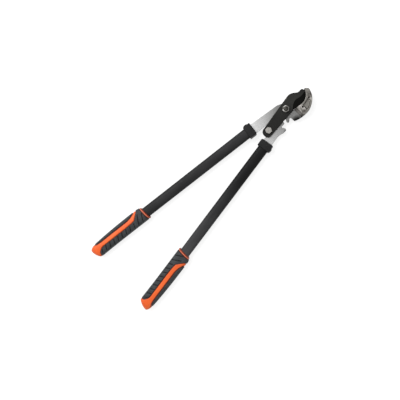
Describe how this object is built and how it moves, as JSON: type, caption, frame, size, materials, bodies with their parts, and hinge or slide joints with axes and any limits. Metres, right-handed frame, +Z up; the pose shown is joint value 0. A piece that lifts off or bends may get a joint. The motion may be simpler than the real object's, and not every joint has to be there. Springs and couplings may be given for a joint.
{
  "type": "anvil lopper",
  "caption": "Two-handed pruning lopper: a curved blade closes on a cast anvil, driven by meshed gear sectors, with long oval tube handles and soft two-colour grips.",
  "frame": {"origin": "centre of the flat end of the pivot bolt's head, which rests on the surface that the closed tool lies on", "axes": "+Y along the centre line between the handles, from the grips towards the jaws; +X across, towards the right handle; +Z up from the resting surface, towards the blade's side"},
  "size_m": [0.23, 0.7045, 0.0311],
  "materials": {
    "satin_steel": "satin blasted",
    "cast_steel": "as cast, blasted",
    "zinc_plate": "zinc plated",
    "coated_blade": "satin non-stick coating",
    "painted_tube": "satin powder coat",
    "black_moulding": "fine matt texture",
    "black_rubber": "matt soft rubber",
    "orange_moulding": "smooth satin",
    "grey_filler": "plain moulded"
  },
  "bodies": {
    "left_handle": {"left_handle_plate": "satin_steel", "anvil": "cast_steel", "lower_anvil_screw": "zinc_plate", "upper_anvil_screw": "zinc_plate", "pivot_bolt": "zinc_plate", "pivot_nut": "zinc_plate", "pivot_washer": "zinc_plate", "pivot_bushing": "zinc_plate", "left_tube": "painted_tube", "left_tube_insert": "grey_filler", "left_first_rivet": "zinc_plate", "left_second_rivet": "zinc_plate", "left_collar": "black_moulding", "left_grip_core": "orange_moulding", "left_grip_palm": "black_rubber", "left_grip_pad": "black_rubber"},
    "blade": {"blade": "coated_blade", "link_bolt": "zinc_plate", "link_nut": "zinc_plate", "link_washer": "zinc_plate", "link_bushing": "zinc_plate"},
    "right_handle": {"right_handle_plate": "satin_steel", "right_tube": "painted_tube", "right_tube_insert": "grey_filler", "right_first_rivet": "zinc_plate", "right_second_rivet": "zinc_plate", "right_collar": "black_moulding", "right_grip_core": "orange_moulding", "right_grip_palm": "black_rubber", "right_grip_pad": "black_rubber"}
  },
  "joints": [
    {"name": "blade_pivot", "type": "hinge", "parent": "left_handle", "child": "blade", "pos_m": [0, 0, 0.014], "axis": [0, 0, 1], "range_deg": [0, 38]},
    {"name": "handle_link", "type": "hinge", "parent": "blade", "child": "right_handle", "pos_m": [0.00702, -0.06789, 0.014], "axis": [0, 0, 1], "range_deg": [0, 27.9]}
  ],
  "couplings": [
    {"joint": "handle_link", "follows": "blade_pivot", "ratio": 0.73333}
  ]
}
